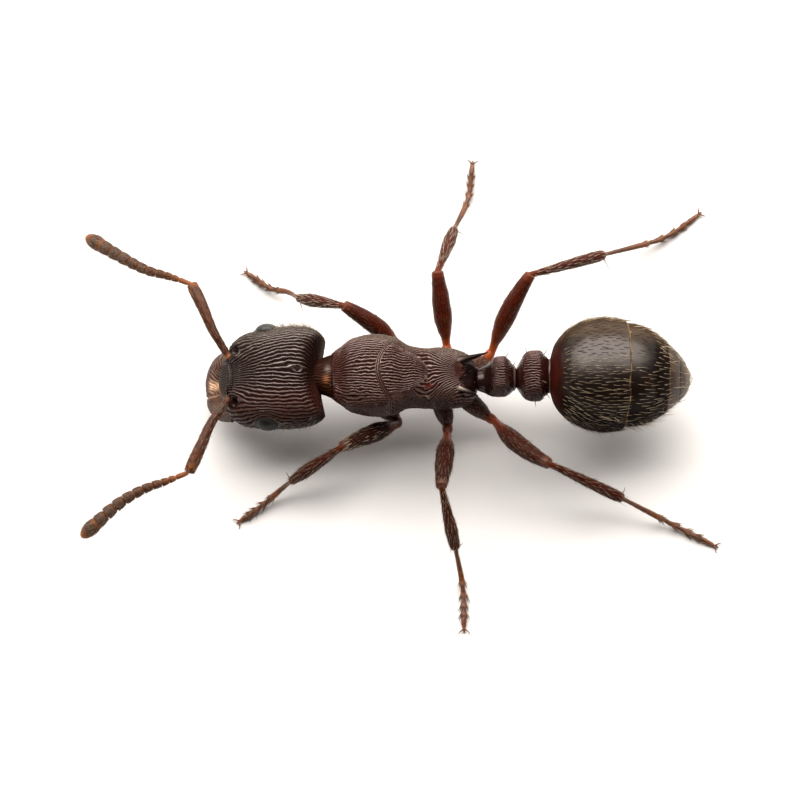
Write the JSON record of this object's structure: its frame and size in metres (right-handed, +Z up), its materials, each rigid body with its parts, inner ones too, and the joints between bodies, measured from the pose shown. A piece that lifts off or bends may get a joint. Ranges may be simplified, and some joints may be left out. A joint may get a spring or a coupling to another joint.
{
  "type": "ant",
  "caption": "Still, life-size model of a worker ant of the furrowed two-waisted kind (Myrmica-like), standing on six feet with its feelers held out",
  "frame": {"origin": "the middle of the model's box on the plane that its six feet stand on", "axes": "-X towards the head, +Y towards the ant's right side, +Z up"},
  "size_m": [0.0078, 0.006, 0.0017],
  "materials": {
    "head_shell": "satin",
    "trunk_shell": "satin",
    "waist_shell": "gloss",
    "gaster_shell": "gloss",
    "eye": "gloss",
    "jaw": "satin",
    "leg": "satin",
    "foot": "satin",
    "claw": "gloss",
    "feeler": "satin",
    "hair": "satin"
  },
  "bodies": {
    "root": {"club_left": "feeler", "club_right": "feeler", "eye_left": "eye", "eye_right": "eye", "fore_claws_left": "claw", "fore_claws_right": "claw", "fore_coxa_left": "leg", "fore_coxa_right": "leg", "fore_femur_left": "leg", "fore_femur_right": "leg", "fore_tarsus_left": "foot", "fore_tarsus_right": "foot", "fore_tibia_left": "leg", "fore_tibia_right": "leg", "fore_trochanter_left": "leg", "fore_trochanter_right": "leg", "gaster_first": "gaster_shell", "gaster_second": "gaster_shell", "gaster_tip": "gaster_shell", "head": "head_shell", "hind_claws_left": "claw", "hind_claws_right": "claw", "hind_coxa_left": "leg", "hind_coxa_right": "leg", "hind_femur_left": "leg", "hind_femur_right": "leg", "hind_tarsus_left": "foot", "hind_tarsus_right": "foot", "hind_tibia_left": "leg", "hind_tibia_right": "leg", "hind_trochanter_left": "leg", "hind_trochanter_right": "leg", "lash_left": "feeler", "lash_right": "feeler", "mandible_left": "jaw", "mandible_right": "jaw", "mesonotum": "trunk_shell", "middle_claws_left": "claw", "middle_claws_right": "claw", "middle_coxa_left": "leg", "middle_coxa_right": "leg", "middle_femur_left": "leg", "middle_femur_right": "leg", "middle_tarsus_left": "foot", "middle_tarsus_right": "foot", "middle_tibia_left": "leg", "middle_tibia_right": "leg", "middle_trochanter_left": "leg", "middle_trochanter_right": "leg", "neck": "trunk_shell", "petiole": "waist_shell", "postpetiole": "waist_shell", "pronotum": "trunk_shell", "propodeum": "trunk_shell", "scape_left": "feeler", "scape_right": "feeler"}
  },
  "joints": []
}
